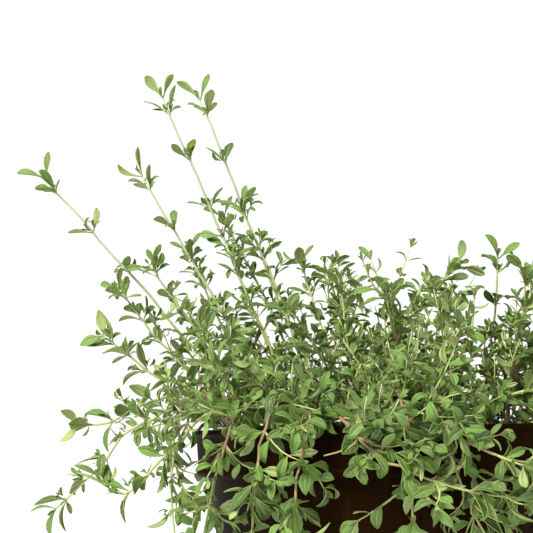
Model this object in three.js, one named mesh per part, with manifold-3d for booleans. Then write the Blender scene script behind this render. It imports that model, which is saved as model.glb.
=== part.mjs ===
// Potted thyme: a plastic nursery pot, the soil that fills it, and the leafy stems that stand in the soil.
// Millimetres, +Z up. The origin is the middle of the pot's underside, and the front is -Y.
import * as THREE from 'three';
import { ConvexGeometry } from 'three/addons/geometries/ConvexGeometry.js';
import { mergeVertices } from 'three/addons/utils/BufferGeometryUtils.js';
import Module from 'manifold-3d';

const wasm = await Module();
wasm.setup();

// The pot: a tapered body under a straight rim band
const POT = {
  height: 165,
  lipRadius: 82.5,
  rimDepth: 19,
  beadRadius: 82.3,
  shoulderRadius: 77.5,
  baseRadius: 60.5,
  wall: 1.6,
  floor: 2.2,
  segments: 32,
};
// The underside: a flat pad and a foot ring, with a raised drain channel and its holes between them
const DRAIN = { padRadius: 30, channelEnd: 55, rise: 3, holes: 6, holeRadius: 5, notchWidth: 9 };
const SOIL = { edge: 142, top: 146, slope: 7 };
const GAP = 0.3;

// Thyme's stems are square in section and taper from the woody root end to the soft tip
const STEM = { sides: 4, step: 25, rootRadius: 1.15, tipRadius: 0.55, rootHeight: 137, routePoints: 25 };
// A blade's corners: shares of its length out from the stem, of its half width aside, of its thickness up
const BLADE_CORNERS = [
  [0, 0, 0],
  [0.6, 1, 0.15],
  [0.6, -1, 0.15],
  [0.96, 0.42, 0],
  [0.96, -0.42, 0],
  [0.42, 0, -0.85],
];
const BLADE = { halfWidth: 0.21, thickness: 1, sunk: 0.15 };
const LEAF_ROLL = 1.4;
const QUARTER_TURN = Math.PI / 2;
const GOLDEN_ANGLE = Math.PI * (3 - Math.sqrt(5));
const SEED = 20;

// Sprigs rise from the soil to a tip. One with an arch of 1 goes straight up first and then leans over.
// leaf is the length of a stem's largest leaves, pairs their number, and leafy how far up they start.
const SPRIG = { leaf: 12, pairs: 6, leafy: 0.38, arch: 0 };
const SPRIGS = {
  far_left: { root: [-42, 8], tip: [-141, -5, 270], leaf: 12.5, pairs: 5 },
  left_inner: { root: [-35, -5], tip: [-101, -6, 270], pairs: 5 },
  tall_left: { root: [-34, 18], tip: [-93, 8, 305], leaf: 13, leafy: 0.44, pairs: 5 },
  tall_right: { root: [-23, 2], tip: [-76, 1, 302], leaf: 13, leafy: 0.44, pairs: 5 },
  front_of_tall: { root: [-17, -17], tip: [-59, -18, 254], leaf: 11 },
  behind_tall: { root: [-22, 29], tip: [-69, 26, 254], leaf: 11, leafy: 0.44 },
  left_cluster: { root: [-31, -24], tip: [-66, -31, 242] },
  left_back: { root: [-46, 24], tip: [-84, 18, 239], leaf: 11 },
  left_low: { root: [-52, -8], tip: [-111, -12, 223] },
  left_mid: { root: [-44, -20], tip: [-96, -23, 232], leaf: 10 },
  top_middle: { root: [-12, -22], tip: [-20, -25, 224], leaf: 10 },
  mauve_front: { root: [-8, -8], tip: [27, -4, 228], leafy: 0.62, pairs: 4, arch: 1 },
  mauve_back: { root: [-10, 12], tip: [20, 9, 224], leaf: 11, leafy: 0.62, pairs: 4, arch: 1 },
  mauve_right: { root: [14, 20], tip: [60, 21, 214], leaf: 10, leafy: 0.5, pairs: 5, arch: 0.8 },
  right_upright: { root: [34, 5], tip: [46, 2, 229], leafy: 0.5, pairs: 4 },
  right_front: { root: [42, -12], tip: [57, -17, 222], leafy: 0.5, pairs: 5 },
  right_outer: { root: [56, 8], tip: [106, 22, 228] },
  back_left: { root: [-14, 44], tip: [-38, 66, 236] },
  back_right: { root: [26, 42], tip: [64, 66, 224] },
};
// Trailers lift over the rim and hang outside it, on cubic curves pulled to their lift and bend points.
const TRAILER = { leaf: 14, pairs: 6, leafy: 0.47 };
const TRAILERS = {
  left_high: { root: [-55, -18], lift: [-60, -22, 186], bend: [-88, -27, 180], tip: [-116, -30, 202] },
  left_arch: { root: [-54, -31], lift: [-74, -36, 214], bend: [-104, -41, 162], tip: [-134, -40, 137] },
  left_wisp: { root: [-60, 4], lift: [-76, 2, 208], bend: [-100, -2, 170], tip: [-128, -4, 169] },
  left_hang: { root: [-62, 17], lift: [-82, 17, 226], bend: [-103, 6, 160], tip: [-88, -14, 106] },
  left_upturn: { root: [-46, -42], lift: [-70, -56, 222], bend: [-98, -54, 118], tip: [-115, -48, 146] },
  front_left: { root: [-38, -36], lift: [-56, -64, 212], bend: [-66, -88, 158], tip: [-77, -66, 112] },
  front_curl: { root: [-27, -41], lift: [-40, -74, 218], bend: [-56, -100, 152], tip: [-54, -82, 114] },
  front_steep: { root: [-18, -40], lift: [-34, -76, 216], bend: [-40, -110, 150], tip: [-36, -88, 96] },
  front_across: { root: [-10, -44], lift: [-32, -76, 206], bend: [-30, -120, 146], tip: [44, -104, 138] },
  front_drop: { root: [1, -49], lift: [1, -82, 222], bend: [8, -110, 160], tip: [6, -90, 102] },
  front_mauve: { root: [10, -42], lift: [0, -80, 200], bend: [10, -122, 148], tip: [62, -98, 152] },
  front_right: { root: [24, -44], lift: [16, -78, 214], bend: [14, -106, 150], tip: [36, -88, 120] },
  right_across: { root: [48, -30], lift: [76, -46, 222], bend: [100, -60, 152], tip: [84, -72, 122] },
  right_reach: { root: [34, -30], lift: [30, -50, 200], bend: [40, -74, 162], tip: [94, -58, 186] },
};
// The back and the right, which the named stems leave bare, get trailers by rule
const HANGING = { stems: 7, from: -0.35, to: 2.75, rootOut: 61, liftOut: 74, bendOut: 115, tipOut: 99 };
const HANGING_HEIGHTS = { lift: 214, bend: 170, tips: [96, 140] };
// The low bush fills the dome between the other stems' ends
const BUSH = { stems: 18, places: 44, stride: 17, apart: 19, reach: 98, rise: 59, base: 166, opening: 1.62 };
const BUSH_STEM = { leaf: 10, pairs: 6, leafy: 0.34, rootOut: 54, lift: 176, tipRun: 28 };

// Seeded random numbers from 0 to 1, the same on every run
function randomFrom(seed) {
  let state = seed >>> 0;
  return () => {
    state = (Math.imul(state, 1664525) + 1013904223) >>> 0;
    return state / 4294967296;
  };
}

// A point at a bearing about the pot's axis
function around(bearing, out, ...height) {
  return [out * Math.cos(bearing), out * Math.sin(bearing), ...height];
}

function toSolid(geometry) {
  const bare = geometry.index ? geometry.toNonIndexed() : geometry.clone();
  bare.deleteAttribute('normal');
  bare.deleteAttribute('uv');
  const merged = mergeVertices(bare, 1e-4);
  return new wasm.Manifold(
    new wasm.Mesh({
      numProp: 3,
      vertProperties: new Float32Array(merged.attributes.position.array),
      triVerts: new Uint32Array(merged.index.array),
    }),
  );
}

function toMesh(name, solid, material) {
  const { numProp, vertProperties, triVerts } = solid.getMesh();
  const geometry = new THREE.BufferGeometry();
  const corners = new THREE.InterleavedBuffer(vertProperties, numProp);
  geometry.setAttribute('position', new THREE.InterleavedBufferAttribute(corners, 3, 0));
  geometry.setIndex(new THREE.BufferAttribute(triVerts, 1));
  const flat = geometry.toNonIndexed();
  flat.computeVertexNormals();
  const mesh = new THREE.Mesh(flat, material);
  mesh.name = name;
  return mesh;
}

// A solid of revolution about Z from a profile of [radius, height] pairs
function turned(profile) {
  const points = profile.map(([radius, height]) => new THREE.Vector2(radius, height));
  return toSolid(new THREE.LatheGeometry(points, POT.segments).rotateX(QUARTER_TURN));
}

function upright(radius, from, to, x, y, sides) {
  const cylinder = new THREE.CylinderGeometry(radius, radius, to - from, sides).rotateX(QUARTER_TURN);
  return toSolid(cylinder.translate(x, y, (from + to) / 2));
}

const rimFoot = POT.height - POT.rimDepth;
const innerRim = POT.lipRadius - 2.4;

// The body's outer radius at a height
function bodyRadius(height) {
  return THREE.MathUtils.mapLinear(height, 0, rimFoot, POT.baseRadius, POT.shoulderRadius);
}

function makePot() {
  const floorTop = DRAIN.rise + POT.floor;
  const footStart = DRAIN.channelEnd + 1.5;
  const shell = turned([
    [0, 0],
    [DRAIN.padRadius, 0],
    [DRAIN.padRadius + 1.5, DRAIN.rise],
    [DRAIN.channelEnd, DRAIN.rise],
    [footStart, 0],
    [POT.baseRadius, 0],
    [POT.shoulderRadius, rimFoot],
    [POT.beadRadius - 0.7, rimFoot],
    [POT.beadRadius, rimFoot + 1],
    [POT.beadRadius, rimFoot + 2.4],
    [POT.beadRadius - 0.9, rimFoot + 3.4],
    [POT.lipRadius - 0.6, POT.height - 2.6],
    [POT.lipRadius, POT.height - 1.6],
    [POT.lipRadius - 0.5, POT.height],
    [innerRim + 0.5, POT.height],
    [innerRim, POT.height - 1.2],
    [innerRim - 0.4, rimFoot + 3],
    [POT.shoulderRadius - POT.wall, rimFoot + 0.6],
    [bodyRadius(floorTop) - POT.wall, floorTop],
    [0, floorTop],
  ]);
  const bearings = Array.from({ length: DRAIN.holes }, (_, i) => (i / DRAIN.holes) * 2 * Math.PI);
  return bearings.reduce((pot, turn) => {
    const [x, y] = around(turn, (DRAIN.padRadius + DRAIN.channelEnd) / 2 + 1);
    const hole = upright(DRAIN.holeRadius, -1, floorTop + 1, x, y, 8);
    const notch = new THREE.BoxGeometry(12, DRAIN.notchWidth, DRAIN.rise);
    notch.translate(POT.baseRadius - 1, 0, 0).rotateZ(turn);
    return pot.subtract(hole).subtract(toSolid(notch));
  }, shell);
}

function makeSoil(stems) {
  const bottom = DRAIN.rise + POT.floor + GAP;
  const inside = (height) => bodyRadius(height) - POT.wall - GAP;
  const filling = turned([
    [0, bottom],
    [inside(bottom), bottom],
    [inside(SOIL.edge), SOIL.edge],
    [inside(SOIL.edge) - SOIL.slope, SOIL.top],
    [0, SOIL.top],
  ]);
  return stems.reduce((soil, stem) => soil.subtract(tube(holeRings(stem.rings))), filling);
}

// A stem's route: a cubic curve, and the rings of its square tube
function layOut(stem) {
  const { root, lift, bend, tip } = stem;
  const corners = [[...root, STEM.rootHeight], lift, bend, tip].map((p) => new THREE.Vector3(...p));
  const curve = new THREE.CubicBezierCurve3(...corners);
  const steps = Math.max(5, Math.round(curve.getLength() / STEM.step));
  const turn = SEED * corners[3].length();
  const normal = new THREE.Vector3(Math.cos(turn), Math.sin(turn), 0);
  const rings = Array.from({ length: steps + 1 }, (_, i) => {
    const tangent = curve.getTangent(i / steps);
    normal.projectOnPlane(tangent).normalize();
    const radius = THREE.MathUtils.lerp(STEM.rootRadius, STEM.tipRadius, i / steps);
    return { centre: curve.getPoint(i / steps), tangent, normal: normal.clone(), radius };
  });
  return { ...stem, route: curve.getPoints(STEM.routePoints - 1), rings };
}

// The place at a share of the way up a stem, measured along the straight runs between its rings
function placeOn({ rings }, share) {
  const runs = rings.slice(1).map((ring, i) => ring.centre.distanceTo(rings[i].centre));
  const total = runs.reduce((sum, run) => sum + run, 0);
  let left = share * total;
  const below = runs.findIndex((run) => (left -= run) <= 0);
  const [lower, upper] = [rings[below], rings[below + 1]];
  const foot = upper.centre.clone().lerp(lower.centre, -left / runs[below]);
  const tangent = upper.centre.clone().sub(lower.centre).normalize();
  const normal = lower.normal.clone().projectOnPlane(tangent).normalize();
  return { foot, tangent, normal };
}

// A square tube through rings: a cylinder with one row of corners for each ring, bent along them
function tube(rings) {
  const geometry = new THREE.CylinderGeometry(1, 1, 1, STEM.sides, rings.length - 1);
  const { position } = geometry.attributes;
  for (let i = 0; i < position.count; i++) {
    const row = Math.round((position.getY(i) + 0.5) * (rings.length - 1));
    const { centre, tangent, normal, radius } = rings[row];
    const corner = centre
      .clone()
      .addScaledVector(normal, -position.getX(i) * radius)
      .addScaledVector(tangent.clone().cross(normal), position.getZ(i) * radius);
    position.setXYZ(i, corner.x, corner.y, corner.z);
  }
  return toSolid(geometry);
}

// The rings of the hole that a stem stands in: the stem's own, grown by the gap, up past the soil's top
function holeRings(rings) {
  const out = rings.findIndex((ring) => ring.centre.z > SOIL.top + 2);
  return rings.slice(0, out + 1).map((ring, i) => ({
    ...ring,
    centre: i ? ring.centre : ring.centre.clone().addScaledVector(ring.tangent, -GAP),
    radius: ring.radius + GAP * Math.SQRT2,
  }));
}

// Balls that stand for a stem or a leaf when the room round it is tested
const taken = [];
function clearOfPot({ at, radius }) {
  const reach = radius + GAP;
  const out = Math.hypot(at.x, at.y);
  const wall = at.z + reach > rimFoot ? POT.lipRadius : bodyRadius(at.z);
  const insideRim = out + reach < innerRim - 1 && at.z - reach > SOIL.top;
  return at.z - reach > POT.height || out - reach > wall || insideRim;
}
function clearOfOthers({ at, radius }, owner) {
  return taken.every((t) => t.owner === owner || at.distanceTo(t.at) > radius + t.radius + GAP);
}

function stemBalls({ rings }) {
  return rings.slice(1).flatMap((upper, i) => {
    const lower = rings[i];
    const count = Math.ceil(upper.centre.distanceTo(lower.centre) / 2);
    return Array.from({ length: count }, (_, k) => ({
      at: lower.centre.clone().lerp(upper.centre, (k + 0.5) / count),
      radius: lower.radius + 0.35,
    }));
  });
}

function leafBalls({ foot, along, length }) {
  const half = BLADE.halfWidth * length;
  return [
    [0.3, 0.5],
    [0.6, 1],
    [0.85, 0.8],
    [1, 0.4],
  ].map(([share, width]) => ({
    at: foot.clone().addScaledVector(along, share * length),
    radius: half * width,
  }));
}

function claim(balls, owner) {
  balls.forEach((ball) => taken.push({ ...ball, owner }));
}

// Opposite pairs of leaves, each pair a quarter turn from the one below it, closing up towards the tip
function leafPlaces(stem, index) {
  const random = randomFrom(SEED + index * 101);
  const places = [];
  for (let pair = 0; pair < stem.pairs; pair++) {
    const share = pair / (stem.pairs - 1);
    const at = THREE.MathUtils.lerp(stem.leafy, 0.97, share ** 0.9);
    const size = stem.leaf * THREE.MathUtils.lerp(0.78, 1, share) * (0.9 + 0.2 * random());
    const open = THREE.MathUtils.lerp(1.25, 0.62, share) + 0.2 * (random() - 0.5);
    for (const side of [0, Math.PI]) {
      const turn = (pair + 0.5) * QUARTER_TURN + side;
      places.push({ at, size, open, turn, roll: LEAF_ROLL * (random() - 0.5) });
    }
  }
  return places;
}

function leafAt(stem, { at, size, turn, roll }, open) {
  const { foot, tangent, normal } = placeOn(stem, at);
  const across = normal.applyAxisAngle(tangent, turn);
  const along = tangent.clone().multiplyScalar(Math.cos(open)).addScaledVector(across, Math.sin(open));
  const face = tangent.clone().add(new THREE.Vector3(0, 0, 0.8)).projectOnPlane(along).normalize();
  face.applyAxisAngle(along, roll);
  return { foot: foot.addScaledVector(along, -BLADE.sunk), along, face, length: size };
}

// A leaf that isn't clear of the pot and the other stems is bent up or down until it is
const BENDS = [0, 0.25, -0.25, 0.5, -0.45, 0.8];
function growLeaves(stem, index) {
  const grown = [];
  for (const place of leafPlaces(stem, index)) {
    const leaf = BENDS.map((bend) => leafAt(stem, place, place.open + bend)).find((candidate) =>
      leafBalls(candidate).every((ball) => clearOfPot(ball) && clearOfOthers(ball, stem.name)),
    );
    if (leaf) {
      claim(leafBalls(leaf), stem.name);
      grown.push(leaf);
    }
  }
  return grown;
}

// A leaf blade: blunt at the tip, a little arched on top, with the midrib's keel below
function blade({ foot, along, face, length }) {
  const across = face.clone().cross(along);
  const corners = BLADE_CORNERS.map(([out, aside, up]) =>
    foot
      .clone()
      .addScaledVector(along, out * length)
      .addScaledVector(across, aside * length * BLADE.halfWidth)
      .addScaledVector(face, up * BLADE.thickness),
  );
  return toSolid(new ConvexGeometry(corners));
}

// A sprig's curve from its root, its tip and how much it arches
function sprig([name, own]) {
  const stem = { ...SPRIG, ...own, name: 'sprig_' + name };
  const { root, tip, arch } = stem;
  const part = (aside, up) => [
    THREE.MathUtils.lerp(root[0], tip[0], aside),
    THREE.MathUtils.lerp(root[1], tip[1], aside),
    THREE.MathUtils.lerp(STEM.rootHeight, tip[2], up),
  ];
  const lift = part(0.18 - 0.16 * arch, 0.32 + 0.18 * arch);
  const bend = part(0.66 - 0.3 * arch, 0.68 + 0.18 * arch);
  return layOut({ ...stem, lift, bend });
}

// A stem made by rule is turned about the pot's axis, more each time to either side, until its way is free
const ROOM = 4.5;
function placeByRule(name, bearing, makeStem, others) {
  for (let tries = 0; tries < 60; tries++) {
    const turn = (tries % 2 ? 1 : -1) * Math.ceil(tries / 2) * 0.06;
    const stem = layOut({ name, ...makeStem(bearing + turn) });
    const apart = (p) => others.every(({ route }) => route.every((q) => p.distanceTo(q) > ROOM));
    if (stem.route.every(apart)) return stem;
  }
  throw new Error('no free way for ' + name);
}

function addHanging(stems, random) {
  for (let i = 0; i < HANGING.stems; i++) {
    const bearing = THREE.MathUtils.lerp(HANGING.from, HANGING.to, i / (HANGING.stems - 1));
    const end = THREE.MathUtils.lerp(...HANGING_HEIGHTS.tips, random());
    const makeStem = (turned) => ({
      ...TRAILER,
      root: around(turned, HANGING.rootOut),
      lift: around(turned, HANGING.liftOut, HANGING_HEIGHTS.lift),
      bend: around(turned, HANGING.bendOut, HANGING_HEIGHTS.bend),
      tip: around(turned, HANGING.tipOut, end),
    });
    stems.push(placeByRule('hanging_stem_' + (i + 1), bearing, makeStem, stems));
  }
}

// Places on the bush's dome are gone through far apart first, and one near another stem's end is passed over
function addBush(stems, random) {
  let made = 0;
  for (let i = 0; i < BUSH.places && made < BUSH.stems; i++) {
    const place = (i * BUSH.stride) % BUSH.places;
    const lean = Math.acos(1 - ((place + 0.5) / BUSH.places) * (1 - Math.cos(BUSH.opening)));
    const reach = BUSH.reach * Math.sin(lean) * (0.92 + 0.16 * random());
    const top = BUSH.base + BUSH.rise * Math.cos(lean) * (0.9 + 0.2 * random());
    const rootOut = BUSH_STEM.rootOut * (lean / BUSH.opening) ** 0.8;
    const tipLean = lean * 1.15;
    const makeStem = (turned) => ({
      ...BUSH_STEM,
      root: around(turned, rootOut),
      lift: around(turned, rootOut + reach * 0.06, BUSH_STEM.lift),
      bend: around(
        turned,
        reach - BUSH_STEM.tipRun * Math.sin(tipLean),
        top - BUSH_STEM.tipRun * Math.cos(tipLean),
      ),
      tip: around(turned, reach, top),
    });
    const bearing = place * GOLDEN_ANGLE + 0.5;
    const tip = new THREE.Vector3(...makeStem(bearing).tip);
    if (stems.every(({ route }) => route.slice(-6).every((p) => p.distanceTo(tip) > BUSH.apart))) {
      made += 1;
      stems.push(placeByRule('bush_stem_' + String(made).padStart(2, '0'), bearing, makeStem, stems));
    }
  }
}

function makeStems() {
  const sprigs = Object.entries(SPRIGS).map(sprig);
  const trailers = Object.entries(TRAILERS).map(([name, own]) =>
    layOut({ ...TRAILER, ...own, name: 'trailer_' + name }),
  );
  const stems = [...sprigs, ...trailers];
  const random = randomFrom(SEED);
  addHanging(stems, random);
  addBush(stems, random);
  stems.forEach((stem) => claim(stemBalls(stem), stem.name));
  return stems;
}

const materials = {
  plastic: new THREE.MeshStandardMaterial({ color: 0x2b1a10, roughness: 0.45, metalness: 0 }),
  soil: new THREE.MeshStandardMaterial({ color: 0x33251b, roughness: 1, metalness: 0 }),
  foliage: new THREE.MeshStandardMaterial({ color: 0x5f8243, roughness: 0.65, metalness: 0 }),
};

const stems = makeStems();
const plant = new THREE.Group();
plant.add(toMesh('pot', makePot(), materials.plastic));
plant.add(toMesh('soil', makeSoil(stems), materials.soil));
stems.forEach((stem, index) => {
  const leafy = wasm.Manifold.union([tube(stem.rings), ...growLeaves(stem, index).map(blade)]);
  plant.add(toMesh(stem.name, leafy, materials.foliage));
});

export default plant;
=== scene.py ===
# %% [markdown]
# # A pot of thyme
# A thyme plant in a plastic nursery pot: long pale sprigs lean out on the left, a low dense bush fills
# the middle, and trailing stems hang over the rim. The CAD model has the pot, the soil and every stem
# with a few large faceted leaves. This lesson dresses that frame: each stem gets a finer piece on the
# same curve, with rounded leaves, side shoots and tufts, and each surface gets its finish.

# %% Load the CAD frame
import math
import random
from itertools import accumulate

import bmesh
import bpy
from mathutils import Matrix, Vector, noise
from mathutils.geometry import interpolate_bezier


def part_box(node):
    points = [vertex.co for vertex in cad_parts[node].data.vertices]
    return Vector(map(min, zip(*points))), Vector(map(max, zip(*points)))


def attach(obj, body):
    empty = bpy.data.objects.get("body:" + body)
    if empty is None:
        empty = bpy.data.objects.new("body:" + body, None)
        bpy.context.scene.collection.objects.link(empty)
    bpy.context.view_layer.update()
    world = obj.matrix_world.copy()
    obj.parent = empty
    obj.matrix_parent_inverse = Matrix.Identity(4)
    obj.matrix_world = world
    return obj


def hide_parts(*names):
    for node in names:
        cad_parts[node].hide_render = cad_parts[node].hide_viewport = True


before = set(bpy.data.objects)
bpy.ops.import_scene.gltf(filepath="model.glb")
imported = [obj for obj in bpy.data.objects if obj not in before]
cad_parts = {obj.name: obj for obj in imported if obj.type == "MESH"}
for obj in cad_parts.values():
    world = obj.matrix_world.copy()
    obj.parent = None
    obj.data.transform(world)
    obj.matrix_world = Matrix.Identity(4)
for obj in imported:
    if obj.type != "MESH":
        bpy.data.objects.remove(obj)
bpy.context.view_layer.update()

MM = 0.001

# %% [markdown]
# ## The camera
# The photograph is taken from the side, a little above the rim, and close up: the pot is cut off at
# the right and below. A long lens from nearly a metre away keeps the plant's shape true. The lens is
# worked out from how wide the picture is at the pot's axis, so that width is the only thing to tune.

# %% Add the camera
CAMERA_PLACE = Vector((0, -900, 170)) * MM
CAMERA_AIM = Vector((-51, 0, 233)) * MM
FIELD_WIDTH = 224 * MM
CAMERA_ROLL = math.radians(-1.5)


def add_object(name, data):
    """A new object that shows its data in the scene"""
    made = bpy.data.objects.new(name, data)
    bpy.context.collection.objects.link(made)
    return made


def add_camera():
    line = CAMERA_AIM - CAMERA_PLACE
    data = bpy.data.cameras.new("camera")
    data.lens = data.sensor_width * line.length / FIELD_WIDTH
    camera = add_object("camera", data)
    turn = line.to_track_quat("-Z", "Y").to_matrix() @ Matrix.Rotation(CAMERA_ROLL, 3, "Z")
    camera.matrix_world = Matrix.Translation(CAMERA_PLACE) @ turn.to_4x4()
    bpy.context.scene.camera = camera
    return camera


camera = add_camera()
print("lens:", round(camera.data.lens, 1), "mm")

# %% [markdown]
# ## Shader maths
# A finish is a few nodes joined to the standard shader. Written out by hand the joins soon hide the
# idea, so one small class wraps a node's output and lets it be added, multiplied and subtracted like
# a number, and another makes a material and its nodes. Colours are mixed, never added as numbers.


# %% Wrap a shader node's output
class Signal:
    def __init__(self, finish, socket):
        self.finish = finish
        self.socket = socket

    def math(self, operation, first, second):
        return self.finish.node("ShaderNodeMath", {"operation": operation}, {0: first, 1: second})

    def __add__(self, other):
        return self.math("ADD", self, other)

    __radd__ = __add__

    def __sub__(self, other):
        return self.math("SUBTRACT", self, other)

    def __rsub__(self, other):
        return self.math("SUBTRACT", other, self)

    def __mul__(self, other):
        return self.math("MULTIPLY", self, other)

    __rmul__ = __mul__

    def __abs__(self):
        return self.math("ABSOLUTE", self, 0)


# %% Make a material and its nodes
def picture_colour(red, green, blue):
    """A colour given as a picture's 0 to 255 values, turned into the linear light that shaders use"""
    shares = [value / 255 for value in (red, green, blue)]
    light = [s / 12.92 if s <= 0.04045 else ((s + 0.055) / 1.055) ** 2.4 for s in shares]
    return (*light, 1)


class Finish:
    def __init__(self, name):
        self.material = bpy.data.materials.new(name)
        self.material.use_nodes = True
        self.tree = self.material.node_tree
        self.shader = self.tree.nodes["Principled BSDF"]

    def node(self, kind, settings=None, sockets=None, output=0):
        made = self.tree.nodes.new(kind)
        for setting, value in (settings or {}).items():
            setattr(made, setting, value)
        for socket, value in (sockets or {}).items():
            self.feed(made.inputs[socket], value)
        return Signal(self, made.outputs[output])

    def feed(self, socket, value):
        if isinstance(value, Signal):
            self.tree.links.new(value.socket, socket)
        else:
            socket.default_value = value

    def set(self, **values):
        for words, value in values.items():
            self.feed(self.shader.inputs[words.replace("_", " ").title()], value)

    def shine(self, level):
        """How strongly the surface mirrors, where 0.5 is common for plastic"""
        self.shader.inputs["Specular IOR Level"].default_value = level

    def mix(self, share, first, second):
        """A colour between two others"""
        colours = {"Factor": share, 6: first, 7: second}
        return self.node("ShaderNodeMix", {"data_type": "RGBA"}, colours, output=2)

    def step(self, value, start, end):
        """0 below the start, 1 above the end, and a smooth slope between them"""
        ends = {"Value": value, "From Min": start, "From Max": end}
        return self.node("ShaderNodeMapRange", {"interpolation_type": "SMOOTHSTEP"}, ends)

    def place(self):
        return self.node("ShaderNodeTexCoord", output="Object")

    def noise(self, size, detail=3, place=None):
        """Cloudy noise from 0 to 1, whose patches are about a size in millimetres across"""
        sockets = {"Vector": place or self.place(), "Scale": 1 / (size * MM), "Detail": detail}
        return self.node("ShaderNodeTexNoise", {}, sockets)

    def attribute(self, name):
        return self.node("ShaderNodeAttribute", {"attribute_name": name}, output="Fac")

    def bump(self, height, depth):
        """A surface roughened by a height from 0 to 1, whose full depth is in millimetres"""
        sockets = {"Height": height, "Distance": depth * MM, "Strength": 1}
        self.set(normal=self.node("ShaderNodeBump", {}, sockets))


print("a leaf's green in linear light:", [round(v, 3) for v in picture_colour(98, 125, 72)[:3]])

# %% [markdown]
# ## The studio
# The photograph's background is plain white, and its light is soft and comes from above and the left
# of the lens, so the inside of the bush is dark. A world as bright as the background would light the
# plant flat from all sides. So the world is white where it is seen and dim where it lights, and a wide
# soft sun does the rest. The floor reaches to the horizon, where it can't be told from the white world.

# %% Add the floor, the world and the sun
FLOOR_RADIUS = 30
WORLD_SEEN = 1.1
WORLD_LIGHT = 0.12
SUN_POWER = 5.3
SUN_FROM = (-0.4, -0.65, 1.0)
SUN_SPREAD = math.radians(32)
WHITE = (1, 1, 1, 1)
FLOOR_GREY = (0.88, 0.88, 0.88, 1)


def mesh_from(name, bm):
    """The mesh of a bmesh, which is freed"""
    mesh = bpy.data.meshes.new(name)
    bm.to_mesh(mesh)
    bm.free()
    return mesh


def add_floor():
    bm = bmesh.new()
    bmesh.ops.create_circle(bm, cap_ends=True, segments=96, radius=FLOOR_RADIUS)
    mesh = mesh_from("floor", bm)
    paint = Finish("floor_paint")
    paint.set(base_color=FLOOR_GREY, roughness=1)
    mesh.materials.append(paint.material)
    floor = add_object("floor", mesh)


def add_sun():
    data = bpy.data.lights.new("sun", "SUN")
    data.energy = SUN_POWER
    data.angle = SUN_SPREAD
    sun = add_object("sun", data)
    sun.rotation_euler = (-Vector(SUN_FROM)).to_track_quat("-Z", "Y").to_euler()


def add_world():
    world = bpy.data.worlds.new("white")
    world.use_nodes = True
    nodes = world.node_tree.nodes
    lit = nodes["Background"]
    seen = nodes.new("ShaderNodeBackground")
    for background, strength in ((lit, WORLD_LIGHT), (seen, WORLD_SEEN)):
        background.inputs["Color"].default_value = WHITE
        background.inputs["Strength"].default_value = strength
    either = nodes.new("ShaderNodeMixShader")
    path = nodes.new("ShaderNodeLightPath")
    link = world.node_tree.links.new
    link(path.outputs["Is Camera Ray"], either.inputs[0])
    link(lit.outputs[0], either.inputs[1])
    link(seen.outputs[0], either.inputs[2])
    link(either.outputs[0], nodes["World Output"].inputs["Surface"])
    bpy.context.scene.world = world


add_floor()
add_world()
add_sun()
bpy.context.scene.view_settings.view_transform = "Standard"
print("the sun is", round(math.degrees(SUN_SPREAD)), "degrees wide")

# %% [markdown]
# ## The finish of the pot
# A nursery pot is thin moulded plastic, so dark a brown that it mirrors the pale floor only faintly.
# Years of handling fade it in cloudy patches, watering leaves dust in streaks that run down the wall,
# and fine scuffs make the gloss uneven. All of it is noise on the object's own coordinates, and the
# streaks are that noise stretched along the height.

# %% Mix the pot's plastic
PLASTIC = picture_colour(17, 7, 1)
PLASTIC_WORN = picture_colour(38, 20, 5)
DUST = picture_colour(92, 74, 50)
PLASTIC_SHINE = 0.03
WARM_TINT = (1, 0.75, 0.5, 1)
CLOUD_WIDTH = 60
STREAK_WIDTH = 6
STREAK_STRETCH = (1, 1, 0.12)
GRAIN_WIDTH = 0.5


def make_plastic():
    plastic = Finish("brown_plastic")
    sockets = {"Vector": plastic.place(), "Scale": STREAK_STRETCH}
    stretched = plastic.node("ShaderNodeMapping", {"vector_type": "POINT"}, sockets)
    streaks = plastic.noise(STREAK_WIDTH, detail=6, place=stretched)
    cloud = plastic.noise(CLOUD_WIDTH, detail=3)
    grain = plastic.noise(GRAIN_WIDTH, detail=2)
    worn = plastic.mix(plastic.step(cloud, 0.25, 0.75), PLASTIC, PLASTIC_WORN)
    dusty = plastic.step(streaks + 0.35 * cloud, 0.72, 1.0) * 0.18
    plastic.set(base_color=plastic.mix(dusty, worn, DUST))
    plastic.set(roughness=0.34 + 0.2 * cloud + 0.15 * grain)
    plastic.set(specular_tint=WARM_TINT)
    plastic.shine(PLASTIC_SHINE)
    plastic.bump(grain * 0.4 + streaks, 0.12)
    return plastic.material


plastic = make_plastic()
print("pot finish:", plastic.name)

# %% [markdown]
# ## Spinning the pot
# The pot is a thin tapered wall under a deeper rim band, with a raised bead at the band's foot. One
# outline, from the middle of the underside round the lip and down inside to the floor, is spun about
# the axis. The drain holes and the notches in the foot ring are cut with one Boolean, because they
# cross the spun faces at a slant, and a fine bevel catches the light along the moulded edges.

# %% Pot sizes and helpers
POT_HEIGHT = 165
LIP_RADIUS = 82.5
BEAD_RADIUS = 82.3
SHOULDER_RADIUS = 77.5
BASE_RADIUS = 60.5
WALL = 1.6
FLOOR_TOP = 5.2
RIM_FOOT = POT_HEIGHT - 19
INNER_RIM = LIP_RADIUS - 2.4
PAD_RADIUS = 30
CHANNEL_END = 55
CHANNEL_RISE = 3
DRAIN_HOLES = 6
DRAIN_RADIUS = 5
NOTCH = (12, 9, 3)
POT_STEPS = 144
EDGE_ANGLE = 0.3
EDGE_BEVEL = 0.25


def body_radius(height):
    """The radius of the pot's outer wall below the rim band"""
    return BASE_RADIUS + (SHOULDER_RADIUS - BASE_RADIUS) * height / RIM_FOOT


def around(bearing, out, height=0.0):
    """A point in a bearing from the pot's axis, so far out and so high"""
    return Vector((out * math.cos(bearing), out * math.sin(bearing), height))


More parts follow.
